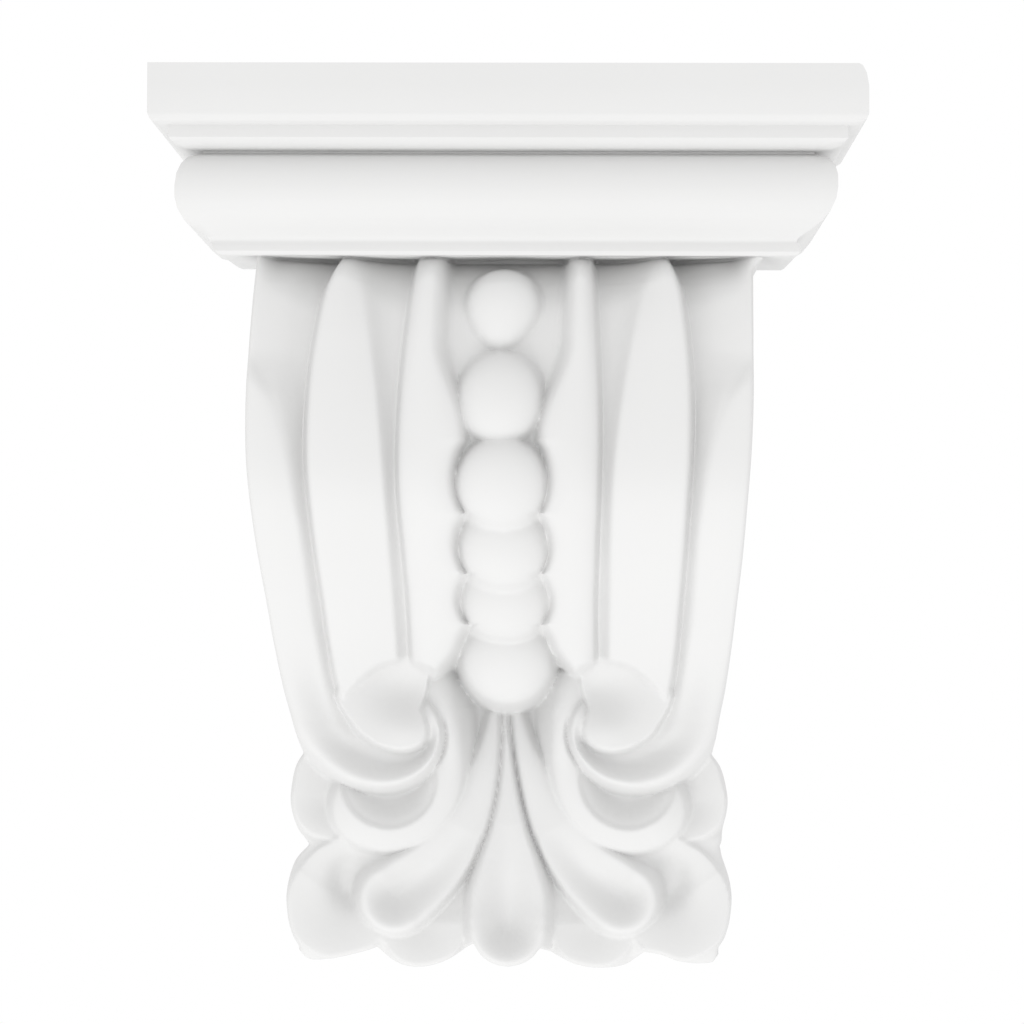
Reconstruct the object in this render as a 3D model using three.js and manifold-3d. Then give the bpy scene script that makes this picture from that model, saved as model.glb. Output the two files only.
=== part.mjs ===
// A carved wall corbel: a mitred cornice over a tapering console. The console's face carries
// two pairs of ridges with hollow flutes between them, a falling row of beads, a pair of
// volutes and a spray of acanthus lobes. It is one casting. Millimetres, +Z up, the wall is
// the plane y = 0 and the front looks towards -Y.
import * as THREE from 'three';
import Module from 'manifold-3d';

// Driving sizes.
const FASCIA_WIDTH = 160; // the cornice's front, side to side
const FASCIA_PROJECTION = 75; // wall to the cornice's front
const CORNICE_HEIGHT = 41.1; // top face to underside
const CORNICE_STEP = 15.3; // how far the lowest fillet stands back from the front
const RETURN_RISE = 2.8; // how much the sides' lowest member rises towards the wall
const CORNER_WEAR = 2.2; // softened top edge at the right-hand end
const BODY_HEIGHT = 163.9; // underside of the cornice to the lowest leaf tip
const BODY_HALF_WIDTH = 57.6; // the console's widest half
const CREST_DEPTH = 61; // wall to the most forward carving
const TENON = 6; // how far the console runs up into the cornice

const FASCIA_TOP = (CORNICE_HEIGHT + BODY_HEIGHT) / 2; // the origin lies halfway up

// The carving is drawn on a plan with these extents and stretched to the sizes above.
const PLAN = { half: 57.6, height: 163.9, depth: 61 };
const COLUMNS = 30; // mesh columns in each half of the face
const ROWS = 72; // mesh rows down the face
const CLOSE_ROWS = { count: 8, reach: 10 }; // closer rows just under the cornice
const FLANK = 1.7; // plan width of an abrupt step down beside an edge
const NOWHERE = -Infinity; // the height of a form outside its own area

const clamp = (v, lo, hi) => Math.min(Math.max(v, lo), hi);
const mix = (a, b, w) => a + (b - a) * w;

// A smooth step from 0 at lo to 1 at hi; lo may be the larger.
function ramp(lo, hi, v) {
  const s = clamp((v - lo) / (hi - lo), 0, 1);
  return s * s * (3 - 2 * s);
}

// The larger of two heights, with a fillet of size k where they meet.
function softMax(a, b, k) {
  const h = Math.max(k - Math.abs(a - b), 0) / k;
  return Math.max(a, b) + h * h * k * 0.25;
}

// A smooth curve through knots; each knot starts with its position, then one or more values.
function curveAt(knots, at, value = 1) {
  const last = knots.length - 1;
  const x = clamp(at, knots[0][0], knots[last][0]);
  let i = 0;
  while (i < last - 1 && x > knots[i + 1][0]) i += 1;
  const slope = (k) => {
    const a = knots[Math.max(k - 1, 0)];
    const b = knots[Math.min(k + 1, last)];
    return (b[value] - a[value]) / (b[0] - a[0]);
  };
  const h = knots[i + 1][0] - knots[i][0];
  const s = (x - knots[i][0]) / h;
  const s2 = s * s;
  const s3 = s2 * s;
  return (2 * s3 - 3 * s2 + 1) * knots[i][value] + (s3 - 2 * s2 + s) * h * slope(i)
    + (3 * s2 - 2 * s3) * knots[i + 1][value] + (s3 - s2) * h * slope(i + 1);
}

// In the plan, t runs down from the cornice and a runs out from the middle line. The middle
// line leans a little from side to side.
const SWAY = [[0, -1.2], [25, -2.0], [50, -2.4], [75, -1.6], [100, -1.0], [125, 0], [165, 0]];
const CREST = [[0, 58.4], [5, 59.6], [12, 60.6], [20, 61], [42, 60.8], [54, 58.8], [66, 52.3],
  [78, 43.5], [90, 36], [100, 32], [112, 30], [126, 29.5]];
const VALLEY = [[0, 9], [25, 8.5], [50, 6.5], [75, 5.5], [100, 5]];

// Half-widths: the outline, the ridges' edges and the crest of the outer band.
const SIDE_UPPER = [[0, 56.5], [10, 56.9], [21, 57.3], [34, 57.6], [45, 57.3], [55, 56.3],
  [67, 55.3], [80, 53.9], [88, 53.0], [98, 51.5], [105.7, 49.8], [110, 49.0], [113.6, 48.1]];
const SIDE_MIDDLE = [[113.6, 48.1], [116.5, 50.0], [120, 51.0], [125.2, 51.5], [130.9, 50.3],
  [135.2, 48.4]];
const SIDE_LOWER = [[135.2, 48.4], [139.4, 50.7], [145.1, 52.2], [150.7, 52.1],
  [156.4, 50.9], [159, 49.4]];
const INNER = [[0, 19.5], [11, 20.6], [23.5, 21.6], [34, 22.1], [46, 22.3], [55, 22.1],
  [67, 21.5], [80, 21.0], [95, 21.0]];
const SOFT = [[0, 33], [11, 30.8], [23.5, 28.8], [34, 27.4], [46, 26.2], [55, 25.6],
  [67, 25.1], [80, 24.8], [95, 24.4]];
const OUTER = [[0, 37], [4, 38.6], [9, 40.2], [23, 42.3], [34, 43], [46, 43], [55, 42.5],
  [67, 41.7], [80, 40.6], [88, 39.9], [97, 38.6], [105.7, 35.8]];
const BAND = [[0, 56], [12, 54.5], [23.5, 51.7], [34, 49.6], [46.6, 47.8], [55, 46.9],
  [67, 45.8], [80, 44.9], [88, 43.6], [97, 42], [106, 40]];

// The lower edge on each side: half the centre lobe, a low lobe and the corner lobe.
const CORNER_HALF = 49.4;
const FOOT_LEFT = [
  [[0, 163.1], [3, 162.5], [6, 160.9], [8.3, 158.7]],
  [[8.3, 158.7], [11.1, 159.9], [14, 161.4], [16.8, 162.5], [19.6, 163.1], [22.4, 163.3],
    [25.2, 162.7], [28.1, 161.3], [30.9, 158.8]],
  [[30.9, 158.8], [34, 159.4], [39.4, 160.6], [45, 161.6], [47.6, 161.0], [49.4, 159]],
];
const FOOT_RIGHT = [
  [[0, 163.1], [3, 162.4], [5.6, 160.9], [7.4, 158.7]],
  [[7.4, 158.7], [11.4, 160.7], [14.2, 162.0], [17.1, 162.9], [19.9, 163.6], [22.7, 163.9],
    [25.5, 163.6], [28.3, 162.2], [32, 159.8]],
  [[32, 159.8], [34, 160.0], [36.8, 160.9], [39.6, 162.0], [42.5, 162.6], [45.3, 162.8],
    [47.8, 161.9], [49.4, 159]],
];

// The beads: t, radius, depth of the centre, offset from the middle line. The first is pointed.
const BEADS = [[10.6, 8.6, 54.2, 0.4], [13.0, 7.2, 54.3, 0.2], [15.2, 5.3, 54.2, 0.0],
  [17.5, 2.9, 53.9, -0.2], [31.9, 10.1, 55.2, 0.2], [51.3, 10.2, 55.0, 0.7],
  [64.9, 10.2, 47.0, 0.8], [76.6, 10.5, 37.2, 0.8], [91.6, 11.0, 27.6, 0.8]];
const BEAD = { flatten: 0.62, tilt: 0.15, tiltFrom: 45, wall: 4 };

// The channel behind the beads: straight above, a bay round each lower bead, a little
// displaced to the right, and its bed.
const CUSPS = [41.6, 58.2, 71.7, 83.2, 103];
const BAYS = [11.3, 11.2, 11.2, 12.2];
const CHANNEL = { open: 13.6, neck: 8.9, cusp: 8.6, shift: 0.65, bed: 6.8, pocket: 11 };

// The volute: round its eye, angles in degrees from straight outwards, turning downwards.
const EYE = { a: 24.8, t: 105.7, depth: 31.4, sink: 6.5, boss: 0.8, wall: 5 };
const TURN = { end: 226, reach: 25.0, tighten: 0.00557, unwind: -144 };
const SPIRAL = [[-25, 15.6], [-9.5, 12.7], [0, 11.3], [14, 9.8], [39, 7.8], [67, 6.8],
  [98, 6.7], [127, 7.0], [148, 7.0], [164, 6.6], [190, 5.9], [226, 5.6]];
const BROW = [[-180, 5.9], [-150, 5.9], [-138, 8.0], [-120, 13.5], [-100, 15.5], [-40, 15.8],
  [-25, 15.6], [-9.5, 12.7]];
const LEVEL = [[0, 30.8], [60, 30.4], [110, 30.0], [160, 29.6], [226, 29.0]];
const SCOOP = [[0, 5], [30, 6.0], [60, 6.6], [110, 6.4], [140, 4.6], [165, 1.2], [185, 0.2],
  [226, 0]];
const CUT = [[-160, 30], [-150, 22], [-140, 17.4], [-130, 14.8], [-115, 14.6], [-100, 14.6],
  [-75, 13.9], [-50, 13.0], [-28, 13.4], [-18, 13.9], [0, 11.3]];
const RIDGES_END = 103; // where the ridges have run out
const GAP = { depth: 3.8, centre: 0.7, half: 0.8 }; // the narrow groove outside the scroll

// Acanthus lobes: knots of a, t, half-width, height and hollow (negative: a rounded back).
const LOBES = {
  stem: { wall: 2.6, floor: 0.45, brim: 0.78, knots: [[20, 92.5, 5.5, 27.2, -1.2],
    [17.0, 98, 4.8, 27.2, -1.8], [14.9, 103, 3.6, 27.0, -2.2], [13.6, 110, 2.9, 26.2, -1.8],
    [14.6, 117, 3.9, 25.4, -1.8], [17.8, 122.6, 5.8, 25.4, -2.0], [23, 126.0, 7.8, 25.8, -2.2],
    [28.8, 127.2, 9.1, 26.2, -2.4], [32.0, 126.4, 9.1, 26.4, -2.4]] },
  side: { wall: 2.6, floor: 0, brim: 0.86, knots: [[2.4, 102, 1.2, 18.0, -1.0],
    [3.6, 110, 2.2, 19.5, -1.0], [5.4, 117, 3.2, 20.8, -1.0], [8.4, 126, 4.4, 22.0, -0.8],
    [12.6, 134, 5.6, 22.8, 0.6], [18, 140.6, 6.9, 23.5, 2.2], [24, 145.4, 8.0, 24.6, 4.4],
    [26.6, 147.2, 8.2, 25.4, 5.4]] },
  centre: { wall: 2.6, floor: 0, brim: 0.88, knots: [[0, 102, 0.6, 17.5, -0.5],
    [0, 114, 1.4, 19.8, -0.6], [0, 124, 2.5, 21.6, -0.6], [0, 132, 4.2, 23.0, 0.2],
    [0, 140, 6.8, 24.4, 1.4], [0, 147, 8.8, 26.0, 3.6], [0, 152, 9.1, 27.6, 5.6],
    [0, 154.0, 9.0, 28.2, 6.4]] },
  far: { wall: 2.0, floor: 0, brim: 0.95, knots: [[40, 116, 9.5, 19, 2.0],
    [42.0, 124.5, 9.6, 19.4, 2.4]] },
  corner: { wall: 0.8, floor: 0, brim: 0.97, knots: [[30, 138, 10, 18.4, 2.2],
    [37.0, 146.0, 13, 19.4, 2.4], [39.5, 149.0, 13.2, 20, 2.4]] },
  low: { wall: 1.2, floor: 0, brim: 0.95, knots: [[16.0, 140, 7, 18, 1],
    [19.0, 150, 9.5, 20, 1.6], [20.0, 153.6, 10.5, 21.0, 1.8]] },
};
const LOBE_STEPS = 40;
const LEAF_LIP = 0.5; // how far a lobe's rim rounds over
const LEAF_FLOOR = 16.5; // the bed behind the lobes
const CUP = { a: 27.5, t: 119.5, radius: 11.5, depth: 10 }; // the hollow under the scroll
const DIMPLE = { a: 37, t: 144.5, depth: 3.6 }; // the hollow in each corner lobe

// The roll back under the cornice: its reach down and its drop, each growing with the depth
// of the face below the foremost carving.
const ROLL = { front: 61, reach: 1.6, reachGrows: 0.85, drop: 1.6, dropGrows: 1.05, edge: 5 };

function sideAt(t) {
  if (t > SIDE_LOWER[0][0]) return curveAt(SIDE_LOWER, t);
  return t > SIDE_MIDDLE[0][0] ? curveAt(SIDE_MIDDLE, t) : curveAt(SIDE_UPPER, t);
}

function footAt(across) {
  const a = Math.abs(across);
  const [centre, low, corner] = across < 0 ? FOOT_LEFT : FOOT_RIGHT;
  if (a > corner[0][0]) return curveAt(corner, a);
  return a > low[0][0] ? curveAt(low, a) : curveAt(centre, a);
}

// Half-width of the channel behind the beads.
function channelAt(across, t) {
  const { open, neck, cusp, shift } = CHANNEL;
  let half = mix(open, neck, ramp(18, 40.5, t));
  for (let i = 0; i < BAYS.length; i += 1) {
    const s = (t - CUSPS[i]) / (CUSPS[i + 1] - CUSPS[i]);
    if (s > 0 && s <= 1) half = mix(cusp, BAYS[i], Math.max(Math.sin(Math.PI * s), 0) ** 0.6);
  }
  if (t > CUSPS[BAYS.length]) half = cusp;
  return half + shift * Math.sign(across);
}

// Section across the outer band: a flat rise from the inner edge, then a rounded crest; where
// it is curled it becomes a trough with a raised rim.
function bandSection(u, breakAt, rise, curled) {
  const g = clamp((u - breakAt) / (1 - breakAt), 0, 1);
  const plain = u < breakAt
    ? rise * Math.max(u / breakAt, 0) ** 1.2
    : rise + (0.97 - rise) * Math.sin(Math.PI * g / 1.25);
  const rim = 0.84;
  const trough = u < rim
    ? 0.1 + 0.9 * ramp(0.3, rim, u) + 0.12 * (1 - ramp(0, 0.4, u))
    : 1 - 0.45 * clamp((u - rim) / (1 - rim), 0, 1) ** 2;
  return mix(plain, trough, curled);
}

// The outer ridge: a hollow up to its soft edge, then a round back to its sharp edge.
function ridgeSection(a, from, soft, outer, foot) {
  if (a < soft) return foot * clamp((a - from) / (soft - from), 0, 1) ** 1.3;
  const g = clamp((a - soft) / (outer - soft), 0, 1);
  const peak = 0.64;
  const arch = g < peak
    ? 0.5 - 0.5 * Math.cos(Math.PI * g / peak)
    : 1 - 0.16 * ((g - peak) / (1 - peak)) ** 2.2;
  return mix(foot, 1, arch);
}

// The two ridges, the flutes and the outer band.
function ridgesAt(across, t) {
  const a = Math.abs(across);
  const channel = channelAt(across, t);
  const inner = curveAt(INNER, t);
  const outer = curveAt(OUTER, t);
  const side = curveAt(SIDE_UPPER, t);
  let share;
  if (a < inner) {
    share = 1 - 0.26 * (Math.abs(2 * a - channel - inner) / (inner - channel)) ** 2.5;
  } else if (a < outer) {
    const foot = mix(0.7, 0.28, ramp(2, 30, t));
    const ridge = ridgeSection(a, inner + FLANK, curveAt(SOFT, t), outer, foot);
    share = mix(0.74, ridge, ramp(0, FLANK, a - inner));
  } else {
    const breakAt = Math.max((curveAt(BAND, t) - outer) / (side - outer), 0.2);
    const rise = mix(0.88, 0.3, ramp(3, 45, t));
    const curled = 0.5 * ramp(84, EYE.t, t);
    const band = bandSection((a - outer) / (side - outer), breakAt, rise, curled);
    share = mix(0.84, band, ramp(0, FLANK, a - outer));
  }
  const wide = mix(3.4, 1.2, ramp(18, 40, t));
  const round = 0.75 * wide * clamp((channel + wide - a) / wide, 0, 1) ** 2;
  const slope = mix(1.3, 2.6, ramp(18, 40, t));
  return curveAt(CREST, t) - curveAt(VALLEY, t) * (1 - share) - round
    - slope * Math.max(channel - a, 0);
}

// A place seen from the eye: distance, plain angle and the angle unwound along the scroll.
function polar(a, t) {
  const r = Math.hypot(a - EYE.a, t - EYE.t);
  const turn = THREE.MathUtils.radToDeg(Math.atan2(t - EYE.t, a - EYE.a));
  return { r, turn, phi: turn < TURN.unwind ? turn + 360 : turn };
}

const outsideAt = (phi) => TURN.reach * Math.exp(-TURN.tighten * clamp(phi, 0, TURN.end));

// The volute's band, swept round the eye from the outer band to its curled tip.
function scrollAt(r, phi) {
  const inside = curveAt(SPIRAL, phi);
  const reach = outsideAt(phi);
  const u = (r - inside) / Math.max(reach - inside, 0.4);
  if (phi < 0 || phi > TURN.end || u < 0) return NOWHERE;
  const share = bandSection(Math.min(u, 1), 0.3, 0.3, mix(0.5, 1, ramp(0, 40, phi)));
  const level = curveAt(LEVEL, phi);
  const band = level - curveAt(SCOOP, phi) * (1 - share);
  return mix(level - 0.4, band, ramp(0, FLANK, r - inside)) - 4 * Math.max(r - reach, 0);
}

// The eye: a hollow under the outer ridge's end that rises to the scroll's sharp edge.
function eyeAt(a, t) {
  const { r, turn, phi } = polar(a, t);
  const radius = turn < BROW[BROW.length - 1][0] ? curveAt(BROW, turn) : curveAt(SPIRAL, phi);
  const pit = EYE.sink * Math.exp(-((a - EYE.a + 2.4) ** 2) / 85 - (t - EYE.t + 7.6) ** 2 / 48);
  const boss = EYE.boss * Math.exp(-((a - EYE.a + 1.5) ** 2 + (t - EYE.t - 1.5) ** 2) / 20);
  return EYE.depth - pit + boss - EYE.wall * Math.max(r - radius, 0);
}

// Points along a lobe's middle line, with its width, height and hollow.
function lobeSteps({ knots, ...form }) {
  let run = 0;
  const rows = knots.map((knot, i) => {
    if (i > 0) run += Math.hypot(knot[0] - knots[i - 1][0], knot[1] - knots[i - 1][1]);
    return [run, ...knot];
  });
  const path = Array.from({ length: LOBE_STEPS + 1 }, (_, i) => {
    const at = run * i / LOBE_STEPS;
    return [1, 2, 3, 4, 5].map((value) => curveAt(rows, at, value));
  });
  return { ...form, path };
}

const LEAVES = Object.fromEntries(
  Object.entries(LOBES).map(([name, lobe]) => [name, lobeSteps(lobe)]),
);

// Height of one lobe: a cup with a raised rim, or a rounded back where the hollow is negative.
function lobeAt({ path, wall, floor, brim }, a, t) {
  let outside = Infinity;
  let best = null;
  for (let i = 0; i < path.length - 1; i += 1) {
    const [p, q] = [path[i], path[i + 1]];
    const [ba, bt] = [q[0] - p[0], q[1] - p[1]];
    const s = clamp(((a - p[0]) * ba + (t - p[1]) * bt) / (ba * ba + bt * bt), 0, 1);
    const away = Math.hypot(a - p[0] - s * ba, t - p[1] - s * bt) - mix(p[2], q[2], s);
    if (away < outside) {
      outside = away;
      best = [mix(p[2], q[2], s), mix(p[3], q[3], s), mix(p[4], q[4], s)];
    }
  }
  const [half, height, hollow] = best;
  const nu = clamp((outside + half) / half, 0, 1);
  const over = clamp((nu - brim) / (1 - brim), 0, 1) ** 2;
  const shape = hollow < 0
    ? hollow * nu ** 2.4
    : hollow * (ramp(floor, brim, nu) - 1) - LEAF_LIP * half * 0.25 * over;
  return height + shape - wall * Math.max(outside, 0);
}

// The cupped lobe that wraps the volute, with the groove between it and the scroll.
function stemAt(a, t) {
  const { r, phi } = polar(a, t);
  const inside = CUP.radius - Math.hypot(a - CUP.a, t - CUP.t);
  const scoop = 0.14 * ramp(-0.2, 1, inside) + 0.86 * ramp(0, 9, inside);
  const edge = Math.abs(r - outsideAt(phi) - GAP.centre) / GAP.half;
  const gap = clamp(1 - edge, 0, 1) * ramp(118, 150, phi) * ramp(192, 162, phi);
  return lobeAt(LEAVES.stem, a, t) - CUP.depth * scoop - GAP.depth * gap;
}

function leavesAt(a, t) {
  const bed = mix(CHANNEL.pocket, LEAF_FLOOR, ramp(102, 112, t)) + 0.02 * Math.max(t - 112, 0);
  const dimple = Math.exp(-((a - DIMPLE.a) ** 2) / 14 - (t - DIMPLE.t) ** 2 / 40);
  const corner = lobeAt(LEAVES.corner, a, t) - DIMPLE.depth * dimple;
  const outer = softMax(lobeAt(LEAVES.far, a, t), bed, 1);
  const behind = softMax(softMax(corner, lobeAt(LEAVES.low, a, t), 1.2), outer, 1);
  const front = softMax(lobeAt(LEAVES.side, a, t), lobeAt(LEAVES.centre, a, t), 0.5);
  return softMax(behind, front, 0.7);
}

function beadsAt(across, t) {
  let height = NOWHERE;
  for (const [at, radius, depth, offset] of BEADS) {
    const rho = Math.hypot(across - offset, t - at);
    const bulge = BEAD.flatten * Math.sqrt(Math.max(radius * radius - rho * rho, 0));
    const lean = at > BEAD.tiltFrom ? BEAD.tilt * (at - t) : 0;
    height = Math.max(height, depth + bulge + lean - BEAD.wall * Math.max(rho - radius, 0));
  }
  return height;
}

// The face rolled back under the cornice, further where it lies deeper.
function underCornice(height, a, t) {
  const low = clamp(ROLL.front - height, 1, 15);
  const s = clamp(1 - t / (ROLL.reach + ROLL.reachGrows * low), 0, 1);
  const drop = (ROLL.drop + ROLL.dropGrows * low) * ramp(0, ROLL.edge, sideAt(t) - a);
  return height - drop * (1 - Math.sqrt(1 - s * s));
}

// Depth of the carved face, in plan units from the wall.
function reliefAt(x, t) {
  const across = x - curveAt(SWAY, t);
  const a = Math.abs(across);
  const outer = curveAt(OUTER, t);
  const { r, turn, phi } = polar(a, t);
  const insideCut = curveAt(CUT, turn > 90 ? -180 : turn) - r;
  const bed = mix(curveAt(CREST, t) - CHANNEL.bed, CHANNEL.pocket, ramp(96, RIDGES_END, t));
  let height = bed;
  if (t <= EYE.t && (a >= outer || t <= RIDGES_END)) {
    const cutAway = a < outer + 0.3 ? 3.5 * Math.max(insideCut, 0) : 0;
    height = softMax(height, ridgesAt(across, t) - cutAway, 1.5);
  }
  height = softMax(height, leavesAt(a, t) - 20 * (1 - ramp(100, 104, t)), 0.6);
  const free = clamp(ramp(-2.5, -0.5, insideCut) + (t > 96 ? 1 : 0), 0, 1);
  height = softMax(height, stemAt(a, t) - 20 * (1 - free), 0.6);
  if (r < 17) height = softMax(height, eyeAt(a, t), mix(0.8, 3, ramp(-95, -125, turn)));
  height = softMax(height, scrollAt(r, phi), 0.5);
  height = softMax(height, beadsAt(across, t), 0.4);
  return underCornice(height, a, t);
}

// Columns follow the ridges above and spread evenly over the volutes and leaves below.
function columnAt(c, t) {
  const i = Math.abs(c);
  const even = i / COLUMNS * sideAt(t);
  const inner = curveAt(INNER, t);
  const outer = curveAt(OUTER, t);
  const channel = channelAt(c, t);
  const marks = [[0, 0], [5, channel - 0.2], [6, channel + 1.2], [10, inner],
    [11, inner + FLANK], [13, curveAt(SOFT, t)], [19, outer], [20, outer + FLANK],
    [23, Math.max(curveAt(BAND, t), outer + FLANK + 2)], [COLUMNS, sideAt(t)]];
  let k = 0;
  while (i > marks[k + 1][0]) k += 1;
  const s = (i - marks[k][0]) / (marks[k + 1][0] - marks[k][0]);
  return Math.sign(c) * mix(mix(marks[k][1], marks[k + 1][1], s), even, ramp(82, 104, t));
}

// A place on the face: c counts columns from the middle line, row counts down.
function placeAt(c, row) {
  const foot = footAt(c / COLUMNS * CORNER_HALF);
  const { count, reach } = CLOSE_ROWS;
  const t = row <= count
    ? row / count * reach
    : mix(reach, foot, (row - count) / (ROWS - count));
  return { x: curveAt(SWAY, t) + columnAt(c, t), t };
}

function consoleForm() {
  const stretch = new THREE.Vector3(
    BODY_HALF_WIDTH / PLAN.half, CREST_DEPTH / PLAN.depth, BODY_HEIGHT / PLAN.height,
  );
  const top = FASCIA_TOP - CORNICE_HEIGHT;
  const place = (x, depth, t) => [
    x * stretch.x, -depth * stretch.y, top - t * stretch.z,
  ];
  const across = 2 * COLUMNS + 1;
  const face = [];
  for (let c = -COLUMNS; c <= COLUMNS; c += 1) {
    const { x } = placeAt(c, 0);
    face.push({ x, t: -TENON, depth: reliefAt(x, 0) });
  }
  for (let row = 0; row <= ROWS; row += 1) {
    for (let c = -COLUMNS; c <= COLUMNS; c += 1) {
      const { x, t } = placeAt(c, row);
      face.push({ x, t, depth: reliefAt(x, t) });
    }
  }
  const points = face.map(({ x, t, depth }) => place(x, depth, t));
  const triangles = [];
  const rows = ROWS + 2;
  for (let row = 0; row < rows - 1; row += 1) {
    for (let c = 0; c < across - 1; c += 1) {
      const [a, b] = [row * across + c, row * across + c + 1];
      const [d, e] = [a + across, b + across];
      const centre = reliefAt(
        (face[a].x + face[b].x + face[d].x + face[e].x) / 4,
        (face[a].t + face[b].t + face[d].t + face[e].t) / 4,
      );
      const fall = Math.abs((face[a].depth + face[e].depth) / 2 - centre);
      const rise = Math.abs((face[b].depth + face[d].depth) / 2 - centre);
      if (fall < rise) triangles.push([a, d, e], [a, e, b]);
      else triangles.push([a, d, b], [b, d, e]);
    }
  }
  // The rim of the face runs straight back to the wall.
  const rim = [];
  for (let row = 0; row < rows; row += 1) rim.push(row * across);
  for (let c = 1; c < across; c += 1) rim.push((rows - 1) * across + c);
  for (let row = rows - 2; row >= 0; row -= 1) rim.push(row * across + across - 1);
  for (let c = across - 2; c > 0; c -= 1) rim.push(c);
  const back = rim.map((index) => {
    points.push(place(face[index].x, 0, face[index].t));
    return points.length - 1;
  });
  rim.forEach((index, k) => {
    const n = (k + 1) % rim.length;
    triangles.push([index, back[k], back[n]], [index, back[n], rim[n]]);
  });
  const outline = back.map((index) => new THREE.Vector2(points[index][0], points[index][2]));
  for (const [a, b, c] of THREE.ShapeUtils.triangulateShape(outline, [])) {
    triangles.push([back[a], back[c], back[b]]);
  }
  return { points, triangles };
}

// The cornice's moulding, downwards: share of the height, share of the step back, wear at the right end.
const MOULDING = [[0, 0, 1], [0.012, 0, 0.62], [0.05, 0, 0.25], [0.12, 0, 0], [0.272, 0, 0],
  [0.3, 0.03, 0.0], [0.317, 0.1, 0], [0.323, 0.28, 0], [0.39, 0.28, 0], [0.418, 0.36, 0],
  [0.436, 0.5, 0], [0.445, 0.66, 0], [0.455, 0.66, 0], [0.485, 0.54, 0], [0.525, 0.45, 0],
  [0.58, 0.39, 0], [0.65, 0.375, 0], [0.71, 0.4, 0], [0.77, 0.475, 0], [0.825, 0.61, 0],
  [0.87, 0.79, 0], [0.9, 0.97, 0], [0.912, 1.04, 0], [0.925, 1.04, 0], [0.931, 0.98, 0],
  [0.98, 0.98, 0], [1, 1.03, 0]];
const FADE_FROM = 0.87; // below this share of the height the sides' members rise to the wall

function corniceForm() {
  const points = [];
  const triangles = [];
  for (const [down, back, wear] of MOULDING) {
    const z = FASCIA_TOP - down * CORNICE_HEIGHT;
    const left = FASCIA_WIDTH / 2 - back * CORNICE_STEP;
    const right = left - wear * CORNER_WEAR;
    const front = FASCIA_PROJECTION - back * CORNICE_STEP;
    const lift = RETURN_RISE * clamp((down - FADE_FROM) / (1 - FADE_FROM), 0, 1);
    points.push([-left, 0, z + lift], [-left, -front, z], [right, -front, z],
      [right, 0, z + lift]);
  }
  for (let k = 0; k < MOULDING.length - 1; k += 1) {
    for (let c = 0; c < 4; c += 1) {
      const [a, b] = [4 * k + c, 4 * k + (c + 1) % 4];
      triangles.push([a, a + 4, b + 4], [a, b + 4, b]);
    }
  }
  const low = 4 * (MOULDING.length - 1);
  triangles.push([0, 1, 2], [0, 2, 3], [low, low + 2, low + 1], [low, low + 3, low + 2]);
  return { points, triangles };
}

const kernel = await Module();
kernel.setup();

function solid({ points, triangles }) {
  return new kernel.Manifold(new kernel.Mesh({
    numProp: 3,
    vertProperties: new Float32Array(points.flat()),
    triVerts: new Uint32Array(triangles.flat()),
  }));
}

function geometryOf(manifold) {
  const mesh = manifold.getMesh();
  const geometry = new THREE.BufferGeometry();
  geometry.setAttribute('position', new THREE.BufferAttribute(mesh.vertProperties, 3));
  geometry.setIndex(new THREE.BufferAttribute(mesh.triVerts, 1));
  geometry.computeVertexNormals();
  return geometry;
}

const paint = new THREE.MeshStandardMaterial({ color: 0xe9e9e7, roughness: 0.55, metalness: 0 });
paint.name = 'white_paint';

const corbel = new THREE.Mesh(geometryOf(solid(corniceForm()).add(solid(consoleForm()))), paint);
corbel.name = 'corbel';

const group = new THREE.Group();
group.name = 'corbel_casting';
group.add(corbel);

export default group;
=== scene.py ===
"""A painted cast corbel: a mitred cornice over a console carved with ridges, beads and leaves."""
import logging
import math
from dataclasses import dataclass
from enum import Enum
from typing import Any

import bpy
import numpy as np
from mathutils import Matrix, Vector


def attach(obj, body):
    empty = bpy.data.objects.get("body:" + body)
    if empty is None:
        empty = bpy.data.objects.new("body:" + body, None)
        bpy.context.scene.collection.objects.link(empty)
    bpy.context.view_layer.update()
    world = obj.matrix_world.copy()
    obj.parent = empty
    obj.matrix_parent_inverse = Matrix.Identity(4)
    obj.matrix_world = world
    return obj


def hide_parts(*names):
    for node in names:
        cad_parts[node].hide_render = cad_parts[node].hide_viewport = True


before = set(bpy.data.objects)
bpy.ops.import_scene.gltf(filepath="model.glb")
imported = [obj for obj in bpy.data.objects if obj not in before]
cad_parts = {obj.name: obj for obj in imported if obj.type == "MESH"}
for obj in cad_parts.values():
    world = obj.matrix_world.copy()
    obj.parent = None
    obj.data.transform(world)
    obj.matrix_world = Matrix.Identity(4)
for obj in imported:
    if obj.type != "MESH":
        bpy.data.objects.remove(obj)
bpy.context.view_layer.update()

log = logging.getLogger("corbel")

Array = np.ndarray
Value = float | np.ndarray
Knots = tuple[tuple[float, ...], ...]
Range = tuple[float, float]
Point = tuple[float, float, float]
Colour = tuple[float, float, float]

MM = 0.001
NOWHERE = -99.0  # the depth of a form outside its own area
SUNK = 20.0  # how far a form is lowered where another one takes its place
STEP = 1.2  # width of the abrupt step down beside a sharp edge
WELD = 1e-6


class Side(Enum):
    """The two sides of the console's middle line."""

    LEFT = "left"
    RIGHT = "right"


class Maths(Enum):
    """The sums that a Math node does in the paint."""

    ADD = "ADD"
    SUBTRACT = "SUBTRACT"
    MULTIPLY = "MULTIPLY"
    POWER = "POWER"


# Small maths.

def ramp(low: float, high: float, value: Value) -> Array:
    """Return a smooth step from 0 at low to 1 at high; low may be the larger."""
    share = np.clip((value - low) / (high - low), 0.0, 1.0)
    return share * share * (3.0 - 2.0 * share)


def mix(first: Value, second: Value, weight: Value) -> Value:
    """Return the value a share of the way from first to second."""
    return first + (second - first) * weight


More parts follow.
